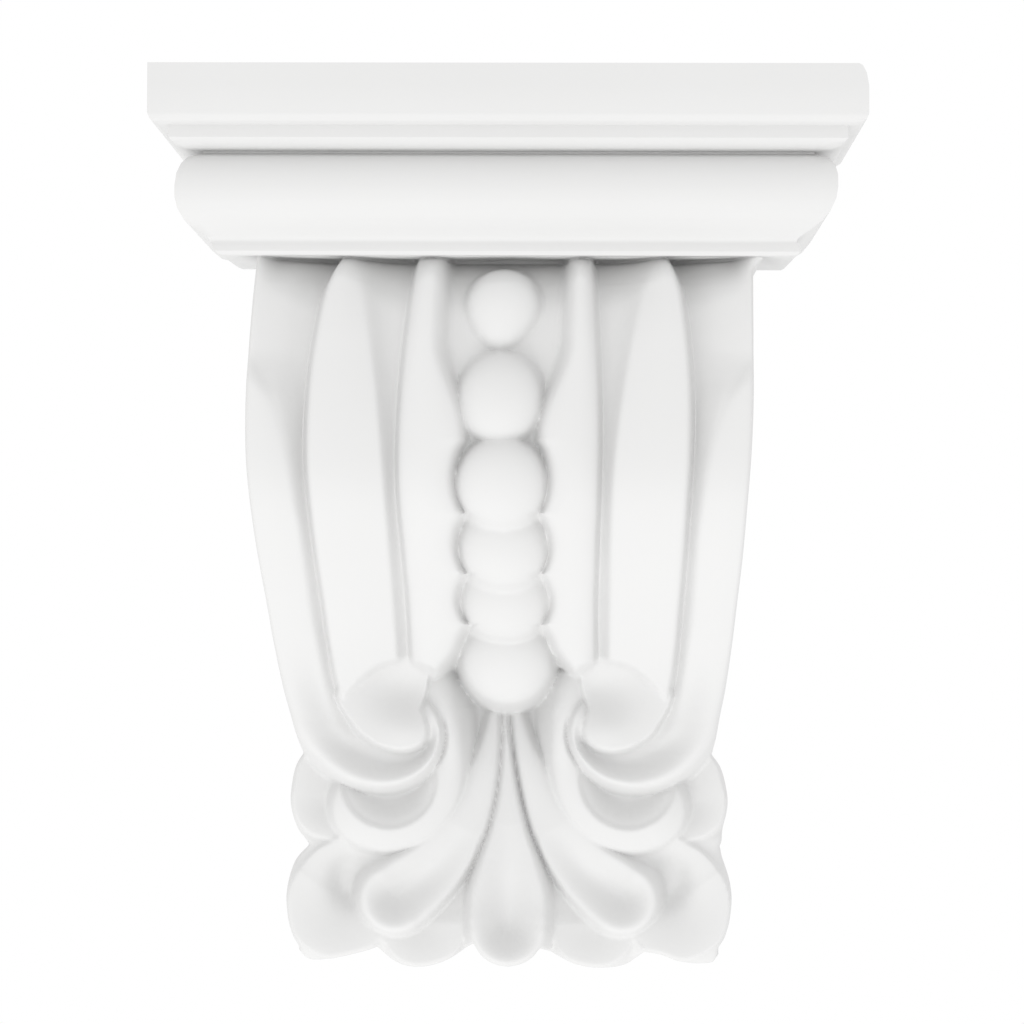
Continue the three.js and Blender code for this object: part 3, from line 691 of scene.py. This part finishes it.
@dataclass(frozen=True)
class Console:
    """The carved body under the cornice."""

    top: float = 61.4
    tenon: float = 6.0
    tenon_depth: float = 50.0
    columns: int = 250
    rows: int = 350
    row_share: Knots = ((0, 0), (0.06, 0.037), (0.434, 0.519), (1, 1))
    column_share: tuple[float, ...] = (0.0, 0.19, 0.24, 0.375, 0.42, 0.72, 0.765, 1.0)
    channel_step: Range = (-0.4, 1.6)
    flank: float = 1.7
    columns_even: Range = (98.0, 114.0)
    edge_round: float = 1.2
    face_height: float = 160.0
    outline: Outline = Outline()
    ridges: Ridges = Ridges()
    volute: Volute = Volute()
    foliage: Foliage = Foliage()
    beads: Beads = Beads()
    roll: Roll = Roll()
    ridges_end: float = 103.0
    channel_bed: Change = Change(7.2, 7.6, 22.0, 46.0)
    pocket: Range = (88.0, 99.0)
    leaves: Range = (100.0, 104.0)
    stem_edge: Range = (-2.5, -0.5)
    stem_free: float = 96.0
    cut_slope: float = 3.5
    cut_spare: float = 0.3
    scroll_gap: Groove = Groove(3.8, 0.7, 0.8, (118.0, 150.0), (192.0, 162.0))
    scroll_shade: Groove = Groove(5.0, 0.6, 1.4, (40.0, 70.0), (125.0, 95.0))
    bed_fillet: float = 1.5
    leaf_fillet: float = 0.6
    eye_fillet: Change = Change(0.8, 3.0, -95.0, -125.0)
    scroll_fillet: float = 0.5
    bead_fillet: float = 0.4

    def relief(self, x: Array, t: Array) -> Array:
        """Return the depth of the carved face.

        Args:
            x: Place across the face.
            t: Distance below the cornice.

        Returns:
            Depth from the wall, in millimetres.
        """
        across = x - curve(self.outline.sway, t)
        a = np.abs(across)
        r, turn, phi = self.volute.polar(a, t)
        inside_cut = self.volute.cut_edge(turn) - r
        height = soft_max(self.ridges_cut(across, t, inside_cut), self.bed(t), self.bed_fillet)
        leaves = self.foliage.height(across, t) - SUNK * (1 - ramp(*self.leaves, t))
        height = soft_max(height, leaves, self.leaf_fillet)
        outside = r - self.volute.outside(phi)
        grooves = self.scroll_gap.at(outside, phi) + self.scroll_shade.at(outside, phi)
        stem = self.foliage.wrapping(a, t) - grooves
        allowed = np.clip(ramp(*self.stem_edge, inside_cut) + (t > self.stem_free), 0, 1)
        height = soft_max(height, stem - SUNK * (1 - allowed), self.leaf_fillet)
        height = soft_max(height, self.volute.eye(a, t), self.eye_fillet.at(turn))
        height = soft_max(height, self.volute.scroll(r, phi), self.scroll_fillet)
        height = soft_max(height, self.beads.height(across, t), self.bead_fillet)
        return height - self.roll.back(height, self.outline.side(t) - a, t)

    def ridges_cut(self, across: Array, t: Array, inside_cut: Array) -> Array:
        """Return the depth of the ridges where they aren't cut away round the volutes.

        Args:
            across: Place across from the middle line.
            t: Distance below the cornice.
            inside_cut: How far inside the cut round the volute each place lies.

        Returns:
            Depth from the wall.
        """
        a, outer = np.abs(across), curve(self.ridges.outer, t)
        cut_away = np.where(a < outer + self.cut_spare,
                            self.cut_slope * np.maximum(inside_cut, 0.0), 0.0)
        ended = (t > self.volute.t) | ((a < outer) & (t > self.ridges_end))
        return np.where(ended, NOWHERE, self.ridges.height(across, t) - cut_away)

    def bed(self, t: Array) -> Array:
        """Return the depth of the beads' channel, down to the pocket behind the leaves."""
        bed = curve(self.ridges.crest, t) - self.channel_bed.at(t)
        return mix(bed, self.foliage.bed.first, ramp(*self.pocket, t))

    def columns_at(self, u: Array, t: Array) -> Array:
        """Return the mesh columns' places, which follow the ridges' edges above the volutes.

        Args:
            u: Even places across the face, -1 to 1.
            t: Distance below the cornice.

        Returns:
            Places across the face as a share of the half-width.
        """
        half = self.outline.side(np.minimum(t, self.outline.corner_t))
        inner, outer = curve(self.ridges.inner, t), curve(self.ridges.outer, t)
        channel = self.ridges.channel(u, t)
        share = np.abs(u)
        at = self.column_share
        edges = (0 * t, channel + self.channel_step[0], channel + self.channel_step[1], inner,
                 inner + self.flank, outer, outer + self.flank, half)
        place = share * half
        for low, high, start, end in zip(at[:-1], at[1:], edges[:-1], edges[1:]):
            inside = (share >= low) & (share <= high)
            place = np.where(inside, mix(start, end, (share - low) / (high - low)), place)
        return np.sign(u) * mix(place / half, share, ramp(*self.columns_even, t))

    def build(self) -> bpy.types.Object:
        """Build the console: its carved face run straight back to the wall.

        Returns:
            The console, a closed solid.
        """
        grid = new_grid("console", self.columns, self.rows)
        u, v = read_plane(grid.data)
        u = 2 * u - 1
        tenon = v < 0.5 / self.rows
        v = np.clip((v - 1.0 / self.rows) / (1 - 1.0 / self.rows), 0.0, 1.0)
        v = np.interp(v, *np.array(self.row_share).T)
        t = v * self.outline.foot(u * self.outline.corner_half)
        half = self.outline.side(np.minimum(t, self.outline.corner_t))
        x = curve(self.outline.sway, t) + self.columns_at(u, t) * half + self.outline.lean(u, t)
        depth = soften(self.relief(x, t), self.columns)
        edge = np.minimum((1 - np.abs(u)) * half, (1 - v) * self.face_height)
        s = np.clip(1 - edge / self.edge_round, 0.0, 1.0)
        depth = depth - self.edge_round * (1 - np.sqrt(1 - s ** 2))
        depth = np.where(tenon, np.minimum(depth, self.tenon_depth), depth)
        z = self.top - np.where(tenon, -self.tenon, t)
        write_points(grid.data, np.column_stack([x, -depth, z]) * MM)
        back_to_wall(grid)
        return grid


@dataclass(frozen=True)
class Cornice:
    """The mitred shelf moulding on three sides of the console.

    The moulding's rows hold a share of the height, a share of the step back and the wear.
    """

    half: float = 80.0
    projection: float = 75.0
    height: float = 41.1
    top: float = 102.5
    step: float = 15.3
    wear: float = 2.2
    rise: float = 2.8
    rise_from: float = 0.87
    along: int = 36
    full_left: Knots = ((0.62, 0), (0.7, 0.5), (0.77, 1.2), (0.825, 2.0), (0.87, 2.5),
                        (0.93, 2.2), (0.97, 1.5), (1, 1.0))
    spare_right: Knots = ((0.5, 0), (0.62, 0.6), (0.77, 0.6), (0.85, 0.3), (0.92, 0),
                          (0.96, -0.8), (1, -0.8))
    moulding: Knots = (
        (0, 0, 1), (0.012, 0, 0.62), (0.05, 0, 0.25), (0.12, 0, 0), (0.272, 0, 0), (0.3, 0.03, 0.0),
        (0.317, 0.1, 0), (0.323, 0.28, 0), (0.39, 0.28, 0), (0.418, 0.36, 0), (0.436, 0.5, 0),
        (0.445, 0.74, 0), (0.455, 0.74, 0), (0.485, 0.54, 0), (0.525, 0.45, 0), (0.58, 0.39, 0),
        (0.65, 0.375, 0), (0.71, 0.4, 0), (0.77, 0.475, 0), (0.825, 0.61, 0), (0.87, 0.79, 0),
        (0.9, 0.93, 0), (0.915, 0.975, 0), (0.928, 0.99, 0), (0.94, 0.98, 0), (0.98, 0.98, 0),
        (1, 1.03, 0))

    def build(self) -> bpy.types.Object:
        """Build the cornice as a tube round its four sides, filled at both ends.

        Returns:
            The cornice, a closed solid.
        """
        rows = len(self.moulding) - 1
        grid = new_grid("cornice", 4 * self.along, rows)
        u, v = read_plane(grid.data)
        row = np.rint(v * rows).astype(int)
        down, back, wear = np.array(self.moulding, dtype=float)[row].T
        left = self.half - back * self.step + curve(self.full_left, down)
        right = self.half - back * self.step - wear * self.wear - curve(self.spare_right, down)
        front = self.projection - back * self.step
        lift = self.rise * np.clip((down - self.rise_from) / (1 - self.rise_from), 0.0, 1.0)
        place = u * 4
        corner = np.minimum(np.floor(place).astype(int), 3)
        s = place - corner
        wall, level = 0 * front, 0 * lift
        corners = np.array([[-left, wall, lift], [-left, -front, level], [right, -front, level],
                            [right, wall, lift], [-left, wall, lift]])
        index = np.arange(len(u))
        x, y, z = mix(corners[corner, :, index], corners[corner + 1, :, index], s[:, None]).T
        z = self.top - down * self.height + z
        write_points(grid.data, np.column_stack([x, y, z]) * MM)
        close_tube(grid)
        return grid


# Mesh steps.

def new_grid(name: str, columns: int, rows: int) -> bpy.types.Object:
    """Add a grid primitive to be shaped.

    Args:
        name: The object's name.
        columns: How many faces it has across.
        rows: How many faces it has down.

    Returns:
        The flat grid, one unit wide and high.
    """
    bpy.ops.object.select_all(action="DESELECT")
    bpy.ops.mesh.primitive_grid_add(x_subdivisions=columns, y_subdivisions=rows, size=1.0)
    grid = bpy.context.object
    grid.name = grid.data.name = name
    return grid


def read_plane(mesh: bpy.types.Mesh) -> tuple[Array, Array]:
    """Return each vertex's place across and down the unit grid, from 0 to 1.

    Args:
        mesh: The flat grid's mesh.

    Returns:
        The places across and the places down, row by row.
    """
    flat = np.empty(len(mesh.vertices) * 3)
    mesh.vertices.foreach_get("co", flat)
    points = flat.reshape(-1, 3)
    return points[:, 0] + 0.5, 0.5 - points[:, 1]


def write_points(mesh: bpy.types.Mesh, points: Array) -> None:
    """Move every vertex of a mesh."""
    mesh.vertices.foreach_set("co", points.astype(np.float32).ravel())
    mesh.update()


def soften(values: Array, columns: int) -> Array:
    """Return a grid's values averaged with their neighbours, which rounds sharp arrises off.

    Args:
        values: One value for each of the grid's vertices.
        columns: How many faces the grid has across.

    Returns:
        The softened values, in the same order.
    """
    grid = np.pad(values.reshape(-1, columns + 1), 1, mode="edge")
    grid = (grid[:-2] + 2.0 * grid[1:-1] + grid[2:]) / 4.0
    grid = (grid[:, :-2] + 2.0 * grid[:, 1:-1] + grid[:, 2:]) / 4.0
    return grid.ravel()


def make_active(piece: bpy.types.Object) -> None:
    """Select one piece alone, for the operators that follow.

    Args:
        piece: The piece to work on.
    """
    bpy.ops.object.select_all(action="DESELECT")
    piece.select_set(True)
    bpy.context.view_layer.objects.active = piece


def select_border() -> None:
    """Select the open edges of the mesh being edited."""
    bpy.ops.mesh.select_mode(type="EDGE")
    bpy.ops.mesh.select_all(action="DESELECT")
    bpy.ops.mesh.select_non_manifold(extend=False, use_wire=False, use_boundary=True,
                                     use_multi_face=False, use_non_contiguous=False,
                                     use_verts=False)


def face_outwards() -> None:
    """Turn the normals of the mesh being edited outwards and leave edit mode."""
    bpy.ops.mesh.select_all(action="SELECT")
    bpy.ops.mesh.normals_make_consistent(inside=False)
    bpy.ops.object.mode_set(mode="OBJECT")


def back_to_wall(piece: bpy.types.Object) -> None:
    """Extrude the open edge of a face straight back to the wall and close it there.

    Args:
        piece: The face, an open grid.
    """
    make_active(piece)
    bpy.ops.object.mode_set(mode="EDIT")
    select_border()
    bpy.ops.mesh.extrude_edges_move()
    bpy.ops.transform.resize(value=(1, 0, 1), center_override=(0, 0, 0))
    bpy.ops.mesh.edge_face_add()
    face_outwards()


def close_tube(piece: bpy.types.Object) -> None:
    """Weld the two edges of a rolled grid and fill its open ends.

    Args:
        piece: The rolled grid, open at both ends.
    """
    make_active(piece)
    bpy.ops.object.mode_set(mode="EDIT")
    bpy.ops.mesh.select_all(action="SELECT")
    bpy.ops.mesh.remove_doubles(threshold=WELD)
    select_border()
    bpy.ops.mesh.fill_holes(sides=0)
    face_outwards()


def smooth_below(piece: bpy.types.Object, arris: float) -> None:
    """Shade a piece smooth, apart from edges that turn by more than the arris in degrees."""
    make_active(piece)
    bpy.ops.object.shade_smooth_by_angle(angle=math.radians(arris))


def unite(target: bpy.types.Object, other: bpy.types.Object) -> None:
    """Join another closed solid into the target with a Boolean.

    Args:
        target: The solid that is kept.
        other: The solid that goes into it.
    """
    make_active(target)
    union = target.modifiers.new("union", "BOOLEAN")
    union.operation = "UNION"
    union.solver = "EXACT"
    union.object = other
    bpy.ops.object.modifier_apply(modifier=union.name)
    bpy.data.objects.remove(other, do_unlink=True)


# Materials.

class Field:
    """A shader socket that takes part in Python arithmetic."""

    def __init__(self, tree: "Tree", socket: bpy.types.NodeSocket) -> None:
        """Wrap a node tree's output socket."""
        self.tree = tree
        self.socket = socket

    def _with(self, sum_kind: Maths, first: "Field | float", second: "Field | float") -> "Field":
        """Add one Math node and return its result."""
        return self.tree.node("ShaderNodeMath", {"operation": sum_kind.value},
                              {0: first, 1: second})

    def __add__(self, other: "Field | float") -> "Field":
        """Return self + other."""
        return self._with(Maths.ADD, self, other)

    def __radd__(self, other: float) -> "Field":
        """Return other + self."""
        return self._with(Maths.ADD, other, self)

    def __sub__(self, other: "Field | float") -> "Field":
        """Return self - other."""
        return self._with(Maths.SUBTRACT, self, other)

    def __rsub__(self, other: float) -> "Field":
        """Return other - self."""
        return self._with(Maths.SUBTRACT, other, self)

    def __mul__(self, other: "Field | float") -> "Field":
        """Return self * other."""
        return self._with(Maths.MULTIPLY, self, other)

    def __rmul__(self, other: float) -> "Field":
        """Return other * self."""
        return self._with(Maths.MULTIPLY, other, self)

    def __pow__(self, other: "Field | float") -> "Field":
        """Return self to the power of other."""
        return self._with(Maths.POWER, self, other)

    def clamp(self) -> "Field":
        """Return the value held between 0 and 1."""
        return self.tree.node("ShaderNodeClamp", {}, {"Value": self})


class Tree:
    """A material's node tree, filled through one general method."""

    def __init__(self, name: str) -> None:
        """Start an empty material.

        Args:
            name: The material's name.
        """
        self.material = bpy.data.materials.new(name)
        self.material.use_nodes = True
        self.tree = self.material.node_tree
        self.tree.nodes.clear()

    def add(self, kind: str, settings: dict[str, Any], inputs: dict[Any, Any]) -> bpy.types.Node:
        """Add any node.

        Args:
            kind: The node's type.
            settings: Attributes to set first.
            inputs: Values or fields for its input sockets, by name or number.

        Returns:
            The node.
        """
        node = self.tree.nodes.new(kind)
        for name, value in settings.items():
            setattr(node, name, value)
        for key, value in inputs.items():
            if isinstance(value, Field):
                self.tree.links.new(value.socket, node.inputs[key])
            else:
                node.inputs[key].default_value = value
        return node

    def node(self, kind: str, settings: dict[str, Any], inputs: dict[Any, Any],
             output: int | str = 0) -> Field:
        """Add any node and return its chosen output as a field."""
        return Field(self, self.add(kind, settings, inputs).outputs[output])

    def finish(self, inputs: dict[str, Any]) -> bpy.types.Material:
        """Close the tree with a surface shader.

        Args:
            inputs: Values or fields for the shader's sockets, by name.

        Returns:
            The finished material.
        """
        shader = self.node("ShaderNodeBsdfPrincipled", {}, inputs, "BSDF")
        self.add("ShaderNodeOutputMaterial", {}, {"Surface": shader})
        return self.material


@dataclass(frozen=True)
class SatinPaint:
    """Factory white paint on a dense casting, faintly uneven, with a few pinholes that are dented
    and darkened with painted shade.
    """

    name: str = "white_paint"
    tone: Colour = (0.72, 0.719, 0.715)
    shade: Colour = (0.693, 0.691, 0.686)
    roughness: float = 0.57
    roughness_spread: float = 0.12
    shine: float = 0.22
    cloud_scale: float = 18.0
    cloud_from: float = 0.42
    cloud_contrast: float = 2.2
    cloud_share: float = 0.5
    swell_scale: float = 140.0
    swell_share: float = 0.6
    grain_scale: float = 900.0
    grain_share: float = 0.05
    pit_scale: float = 60.0
    pit_sharpness: float = 16.0
    # how much painted shade darkens the colour in each pinhole
    pit_painted_shade: float = 0.3
    pit_share: float = 0.4
    relief: float = 0.0004
    relief_strength: float = 0.25

    def material(self) -> bpy.types.Material:
        """Make the paint.

        Returns:
            The finished material.
        """
        tree = Tree(self.name)
        place = tree.node("ShaderNodeTexCoord", {}, {}, "Object")

        def noise(scale: float, detail: float) -> Field:
            """Return a noise value over the object's own coordinates."""
            return tree.node("ShaderNodeTexNoise", {},
                             {"Vector": place, "Scale": scale, "Detail": detail}, "Fac")

        cloud = noise(self.cloud_scale, 3.0)
        grain = noise(self.grain_scale, 2.0)
        swell = noise(self.swell_scale, 2.0)
        cells = tree.node("ShaderNodeTexVoronoi", {"feature": "F1"},
                          {"Vector": place, "Scale": self.pit_scale, "Randomness": 1.0},
                          "Distance")
        pit = (1.0 - cells * self.pit_sharpness).clamp() ** 2.0
        fade = ((cloud - self.cloud_from) * self.cloud_contrast).clamp()
        # the cloud gives an uneven tone; the pinholes add painted shade in their dents
        fade = fade * self.cloud_share + pit * self.pit_painted_shade
        colour = tree.node("ShaderNodeMix", {"data_type": "RGBA"},
                           {"Factor": fade, "A": (*self.tone, 1), "B": (*self.shade, 1)},
                           "Result")
        height = swell * self.swell_share + grain * self.grain_share - pit * self.pit_share
        bump = tree.node("ShaderNodeBump", {},
                         {"Strength": self.relief_strength, "Distance": self.relief,
                          "Height": height}, "Normal")
        rough = cloud * self.roughness_spread + self.roughness
        return tree.finish({"Base Color": colour, "Roughness": rough, "Normal": bump,
                            "Specular IOR Level": self.shine})


@dataclass(frozen=True)
class PaleFloor:
    """The matt pale floor under the corbel."""

    name: str = "pale_floor"
    tone: Colour = (0.86, 0.86, 0.86)
    roughness: float = 0.8

    def material(self) -> bpy.types.Material:
        """Return the finished material."""
        return Tree(self.name).finish({"Base Color": (*self.tone, 1), "Roughness": self.roughness})


@dataclass(frozen=True)
class Corbel:
    """The whole casting."""

    cornice: Cornice = Cornice()
    console: Console = Console()
    paint: SatinPaint = SatinPaint()
    moulding_arris: float = 42.0
    carving_arris: float = 46.0

    def build(self) -> bpy.types.Object:
        """Build the casting, paint it and set it on its body.

        Returns:
            The finished piece.
        """
        piece = self.cornice.build()
        smooth_below(piece, self.moulding_arris)
        body = self.console.build()
        smooth_below(body, self.carving_arris)
        unite(piece, body)
        piece.name = piece.data.name = "corbel_cast"
        piece.data.materials.clear()
        piece.data.materials.append(self.paint.material())
        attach(piece, "root")
        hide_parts("corbel")
        return piece


# Studio.

@dataclass(frozen=True)
class Lamp:
    """A soft square light that faces the corbel and stays out of the picture."""

    name: str
    place: Point
    size: float
    power: float

    def build(self) -> bpy.types.Object:
        """Add the light.

        Returns:
            The light, turned towards the corbel.
        """
        bpy.ops.object.light_add(type="AREA", location=self.place)
        lamp = bpy.context.object
        lamp.name = self.name
        lamp.data.size = self.size
        lamp.data.energy = self.power
        lamp.visible_camera = False
        lamp.rotation_euler = (-Vector(self.place)).to_track_quat("-Z", "Y").to_euler()
        return lamp


@dataclass(frozen=True)
class Studio:
    """Pale floor, soft light and the photograph's camera."""

    floor_paint: PaleFloor = PaleFloor()
    floor_radius: float = 0.9
    floor_sides: int = 96
    floor_middle: Point = (0.0, -0.2, -2.5)
    surround: tuple[float, float, float, float] = (1.0, 1.0, 1.0, 1.0)
    surround_strength: float = 1.0
    lamps: tuple[Lamp, ...] = (Lamp("below", (-0.3, -1.44, -2.0), 1.6, 19.0),
                               Lamp("left", (-0.6, -0.7, 0.1), 0.5, 0.2))
    camera_at: Point = (0.0126, -0.855, -0.0242)
    aim: Point = (-0.0145, 1.0, 0.0347)
    roll: float = 0.2
    lens: float = 124.4
    sensor: float = 36.0

    def build(self) -> list[bpy.types.Object]:
        """Set up the surround, the floor, the lights and the camera.

        Returns:
            The floor, the lights and the camera.
        """
        floor = self.floor()
        self.world()
        return [floor, *(lamp.build() for lamp in self.lamps), self.camera()]

    def floor(self) -> bpy.types.Object:
        """Add a pale round floor below the corbel.

        Returns:
            The floor.
        """
        bpy.ops.object.select_all(action="DESELECT")
        bpy.ops.mesh.primitive_circle_add(vertices=self.floor_sides, radius=self.floor_radius,
                                          fill_type="NGON", location=(0, 0, 0))
        disc = bpy.context.object
        disc.name = "floor"
        disc.data.transform(Matrix.Translation(self.floor_middle))
        disc.data.materials.append(self.floor_paint.material())
        return disc

    def world(self) -> None:
        """Light everything evenly from a white surround."""
        scene = bpy.context.scene
        world = bpy.data.worlds.new("studio")
        world.use_nodes = True
        background = world.node_tree.nodes["Background"]
        background.inputs["Color"].default_value = self.surround
        background.inputs["Strength"].default_value = self.surround_strength
        scene.world = world
        scene.view_settings.view_transform = "Standard"

    def camera(self) -> bpy.types.Object:
        """Place the camera where the photograph was taken from.

        Returns:
            The scene's camera.
        """
        bpy.ops.object.camera_add(location=self.camera_at)
        camera = bpy.context.object
        camera.name = "camera"
        turn = Vector(self.aim).to_track_quat("-Z", "Y").to_matrix()
        spin = Matrix.Rotation(math.radians(self.roll), 3, "Z")
        camera.rotation_euler = (turn @ spin).to_euler()
        camera.data.lens = self.lens
        camera.data.sensor_width = self.sensor
        bpy.context.scene.camera = camera
        return camera


def main() -> None:
    """Build the corbel and the studio and report each piece."""
    logging.basicConfig(level=logging.INFO, format="%(name)s %(message)s")
    casting = Corbel().build()
    log.info("%s: %d faces", casting.name, len(casting.data.polygons))
    for piece in Studio().build():
        log.info("%s: %s", piece.name, piece.type.lower())


if __name__ == "__main__":
    main()
